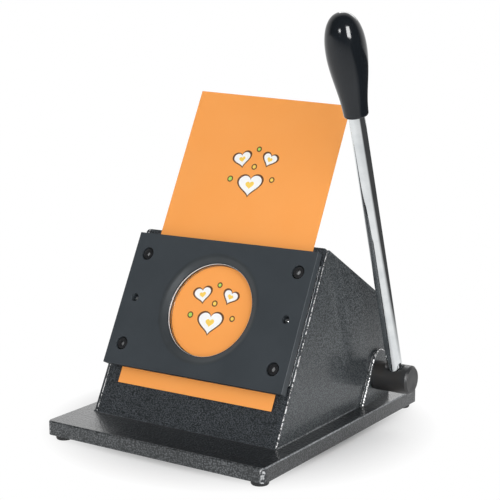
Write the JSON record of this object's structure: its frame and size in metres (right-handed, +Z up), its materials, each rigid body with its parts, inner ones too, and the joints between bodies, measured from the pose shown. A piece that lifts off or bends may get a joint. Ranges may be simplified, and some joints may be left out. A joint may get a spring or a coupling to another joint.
{
  "type": "button badge disc cutter",
  "caption": "Lever-operated desktop punch that cuts round paper prints for button badges, with a sloping die plate, a cam-driven punch and a side lever.",
  "frame": {"origin": "middle of the base plate's underside", "axes": "+X to the operator's right, where the lever is; +Y to the rear, away from the operator; +Z up"},
  "size_m": [0.21, 0.224, 0.3069],
  "materials": {
    "housing_paint": "hammered black-grey stove enamel",
    "base_paint": "hammered black-grey stove enamel",
    "die_paint": "satin blue-black",
    "black_steel": "black oxide, satin",
    "bright_steel": "ground",
    "chrome": "polished chrome plate",
    "bronze": "sintered bronze",
    "grip_plastic": "moulded, glossy",
    "rubber": "moulded, matt",
    "orange_paper": "uncoated card, printed",
    "spring_wire": "drawn spring wire"
  },
  "bodies": {
    "housing": {"base_plate": "base_paint", "rubber_feet": "rubber", "foot_screws": "bright_steel", "base_screws": "bright_steel", "mounting_rail_left": "housing_paint", "mounting_rail_right": "housing_paint", "side_panel_left": "housing_paint", "side_panel_right": "housing_paint", "front_panel": "housing_paint", "top_cover": "housing_paint", "rear_cover": "housing_paint", "rear_bars": "housing_paint", "rear_cover_screws": "black_steel", "bearing_plate_left": "housing_paint", "bearing_plate_right": "housing_paint", "shaft_bush_left": "bronze", "shaft_bush_right": "bronze", "stripper_plate": "bright_steel", "slot_spacer_left": "black_steel", "slot_spacer_right": "black_steel", "die_plate": "die_paint", "die_ring": "bright_steel", "die_screws": "black_steel", "punch_guide": "bright_steel", "guide_posts": "bright_steel", "post_rings": "spring_wire", "paper_sheet": "orange_paper", "return_springs": "spring_wire"},
    "punch_carriage": {"punch": "bright_steel", "carriage": "die_paint", "carriage_bushes": "bronze", "carriage_screws": "black_steel", "push_stem": "bright_steel", "follower_pad": "black_steel", "paper_disc": "orange_paper"},
    "lever": {"cross_shaft": "black_steel", "thrust_washers": "bright_steel", "cam": "bright_steel", "cam_key": "bright_steel", "cam_set_screw": "black_steel", "shaft_collar": "black_steel", "collar_set_screw": "bright_steel", "lever_rod": "chrome", "grip": "grip_plastic"}
  },
  "joints": [
    {"name": "lever_turn", "type": "hinge", "parent": "housing", "child": "lever", "pos_m": [0, 0.0634, 0.03104], "axis": [1, 0, 0], "range_deg": [0, 68], "stiffness_Nm_per_rad": 0.4, "springref_deg": -68.75},
    {"name": "punch_slide", "type": "slide", "parent": "housing", "child": "punch_carriage", "axis": [0, -0.8846, 0.4664], "range_m": [0, 0.00583], "deforming": ["return_springs"]}
  ],
  "couplings": [
    {"joint": "punch_slide", "follows": "lever_turn", "m_per_rad": 0.0049}
  ]
}
